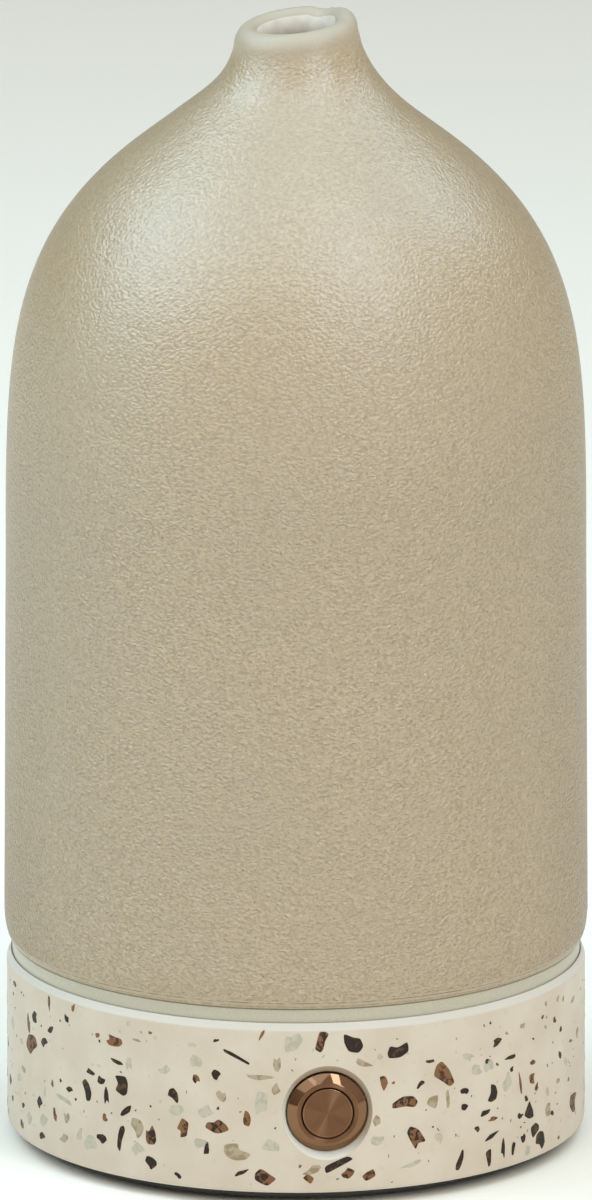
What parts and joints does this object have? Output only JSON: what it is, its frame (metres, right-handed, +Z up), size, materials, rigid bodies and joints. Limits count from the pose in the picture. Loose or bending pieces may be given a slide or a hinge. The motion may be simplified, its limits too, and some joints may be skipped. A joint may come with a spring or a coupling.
{
  "type": "essential oil diffuser",
  "caption": "Bell-shaped stoneware essential oil diffuser with a small open mouth, a glowing ring and a push button on its round terrazzo base",
  "frame": {"origin": "on the table, under the axis of the round base", "axes": "+Z up along the axis through the mouth; the push button faces -Y and the power inlet +Y"},
  "size_m": [0.1008, 0.1008, 0.1972],
  "materials": {
    "stoneware": "satin orange-peel glaze",
    "terrazzo": "honed, with dark, brown and pale chips",
    "frosted_plastic": "translucent, frosted",
    "white_plastic": "fine grain",
    "black_plastic": "fine grain",
    "silicone": "matte",
    "rubber": "matte",
    "bronze_metal": "brushed, bronze-coloured plating",
    "steel": "bright",
    "brass": "machined",
    "circuit_board": "solder mask",
    "foam": "open cell"
  },
  "bodies": {
    "base": {"terrazzo_base": "terrazzo", "light_ring": "frosted_plastic", "water_tank": "white_plastic", "chassis": "white_plastic", "air_duct": "white_plastic", "led_1": "white_plastic", "led_2": "white_plastic", "led_3": "white_plastic", "led_4": "white_plastic", "led_5": "white_plastic", "led_6": "white_plastic", "switch_connector": "white_plastic", "transducer_connector": "white_plastic", "fan_connector": "white_plastic", "power_connector": "white_plastic", "bottom_cover": "black_plastic", "fan_frame": "black_plastic", "driver_coil": "black_plastic", "capacitor_large": "black_plastic", "capacitor_small": "black_plastic", "driver_transistor": "black_plastic", "controller_chip": "black_plastic", "dc_jack": "black_plastic", "switch_contact_block": "black_plastic", "transducer_gasket": "silicone", "transducer_lead": "silicone", "fan_lead": "silicone", "switch_lead": "silicone", "power_lead": "silicone", "led_lead": "silicone", "rubber_foot_1": "rubber", "rubber_foot_2": "rubber", "rubber_foot_3": "rubber", "rubber_foot_4": "rubber", "switch_seal": "rubber", "switch_barrel": "bronze_metal", "transducer_disc": "steel", "case_screw_1": "steel", "case_screw_2": "steel", "case_screw_3": "steel", "case_screw_4": "steel", "clamp_screw_1": "steel", "clamp_screw_2": "steel", "clamp_screw_3": "steel", "fan_screw_1": "steel", "fan_screw_2": "steel", "switch_spring": "steel", "switch_nut": "steel", "jack_pin": "steel", "heat_sink": "steel", "transducer_clamp": "brass", "fan_stator": "brass", "main_board": "circuit_board", "led_ring_board": "circuit_board", "intake_filter": "foam"},
    "cover": {"ceramic_cover": "stoneware"},
    "hood": {"mist_hood": "white_plastic", "hood_seal": "silicone"},
    "button": {"button_cap": "bronze_metal"},
    "fan_rotor": {"fan_impeller": "black_plastic"}
  },
  "joints": [
    {"name": "cover_lift", "type": "slide", "parent": "base", "child": "cover", "axis": [0, 0, 1], "range_m": [0, 0.25]},
    {"name": "hood_lift", "type": "slide", "parent": "base", "child": "hood", "axis": [0, 0, 1], "range_m": [0, 0.1]},
    {"name": "button_press", "type": "slide", "parent": "base", "child": "button", "axis": [0, 1, 0], "range_m": [0, 0.0015], "stiffness_N_per_m": 500, "springref_m": -0.002, "deforming": ["switch_spring"]},
    {"name": "fan_spin", "type": "hinge", "parent": "base", "child": "fan_rotor", "pos_m": [0.027, 0, 0.012], "axis": [0, 0, 1], "continuous": true}
  ],
  "couplings": [
    {"joint": "hood_lift", "follows": "cover_lift", "ratio": 0.4}
  ]
}
